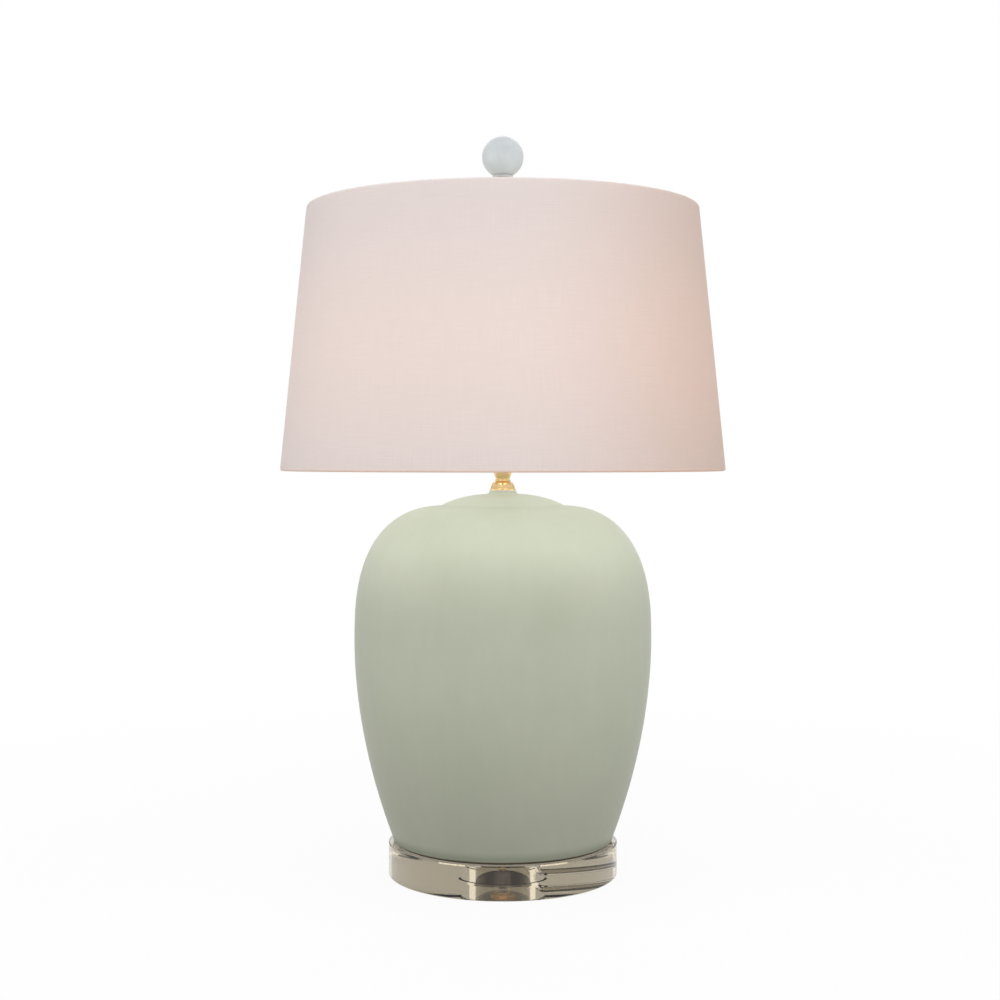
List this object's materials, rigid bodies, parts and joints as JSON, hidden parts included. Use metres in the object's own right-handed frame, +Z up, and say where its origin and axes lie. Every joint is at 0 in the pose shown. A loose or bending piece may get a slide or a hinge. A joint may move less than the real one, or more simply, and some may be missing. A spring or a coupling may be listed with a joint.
{
  "type": "ginger jar table lamp",
  "caption": "Table lamp: porcelain ginger jar on a clear acrylic disc, turned neck, harp, and an empire shade under a ball finial.",
  "frame": {"origin": "centre of the underside of the acrylic disc, on the surface that the lamp stands on", "axes": "+Z up along the jar and the rod; -Y the front, where the switch knob points; +X the right, where the cord channel opens"},
  "size_m": [0.4313, 0.4314, 0.718],
  "materials": {
    "clear_acrylic": "clear, polished",
    "brown_felt": "matt felt",
    "brass": "turned and polished, lacquered",
    "brass_plate": "brass plated steel, satin",
    "zinc_steel": "zinc plated",
    "dark_pad": "matt",
    "celadon_glaze": "soft satin celadon glaze",
    "cream_ring": "satin cream",
    "grey_card": "fibre",
    "phenolic": "moulded",
    "aluminium_thread": "bright",
    "knob_plastic": "moulded, ribbed",
    "frosted_glass": "frosted white, lit",
    "black_glass": "black",
    "clear_glass": "clear",
    "filament_wire": "wire",
    "shade_linen": "fine off-white linen weave",
    "shade_styrene": "white sheet",
    "ring_wire": "white enamelled wire",
    "pale_stone": "pale, polished",
    "jade_stone": "pale jade, polished"
  },
  "bodies": {
    "lamp": {"acrylic_base": "clear_acrylic", "base_felt": "brown_felt", "base_washer": "brass", "base_nut": "brass", "threaded_rod": "zinc_steel", "foot_pad": "dark_pad", "jar_body": "celadon_glaze", "jar_lid": "celadon_glaze", "collar_ring": "cream_ring", "brass_neck": "brass", "harp_saddle": "brass_plate", "socket_cap": "brass_plate", "socket_set_screw": "zinc_steel", "socket_shell": "brass_plate", "socket_liner": "grey_card", "socket_core": "phenolic", "socket_screw_shell": "aluminium_thread", "socket_contact": "brass_plate", "terminal_screws": "zinc_steel"},
    "switch": {"switch_pin": "zinc_steel", "switch_knob": "knob_plastic"},
    "bulb": {"bulb_glass": "frosted_glass", "bulb_cap": "aluminium_thread", "bulb_insulator": "black_glass", "bulb_tip": "zinc_steel", "bulb_stem": "clear_glass", "bulb_filament": "filament_wire"},
    "harp": {"harp_bow": "brass_plate"},
    "sleeve_left": {"harp_sleeve_left": "brass_plate"},
    "sleeve_right": {"harp_sleeve_right": "brass_plate"},
    "swivel": {"harp_swivel_stud": "brass_plate"},
    "shade": {"shade_cloth": "shade_linen", "shade_liner": "shade_styrene", "shade_bottom_ring": "ring_wire", "shade_top_ring": "ring_wire", "shade_arms": "brass_plate", "shade_fitter": "brass_plate"},
    "finial": {"finial_base": "brass", "finial_collar": "pale_stone", "finial_ball": "jade_stone"}
  },
  "joints": [
    {"name": "switch_turn", "type": "hinge", "parent": "lamp", "child": "switch", "pos_m": [0, -0.0195, 0.427], "axis": [0, -1, 0], "continuous": true},
    {"name": "bulb_unscrew", "type": "hinge", "parent": "lamp", "child": "bulb", "pos_m": [0, 0, 0.4464], "axis": [0, 0, 1], "range_deg": [0, 1080]},
    {"name": "harp_lift", "type": "slide", "parent": "lamp", "child": "harp", "axis": [0, 0, 1], "range_m": [0, 0.02]},
    {"name": "sleeve_left_slide", "type": "slide", "parent": "harp", "child": "sleeve_left", "axis": [0, 0, 1], "range_m": [0, 0.012]},
    {"name": "sleeve_right_slide", "type": "slide", "parent": "harp", "child": "sleeve_right", "axis": [0, 0, 1], "range_m": [0, 0.012]},
    {"name": "shade_turn", "type": "hinge", "parent": "harp", "child": "swivel", "pos_m": [0, 0, 0.6373], "axis": [0, 0, 1], "continuous": true},
    {"name": "shade_lift", "type": "slide", "parent": "swivel", "child": "shade", "axis": [0, 0, 1], "range_m": [0, 0.28]},
    {"name": "finial_unscrew", "type": "hinge", "parent": "shade", "child": "finial", "pos_m": [0, 0, 0.6395], "axis": [0, 0, 1], "range_deg": [0, 2880]}
  ]
}
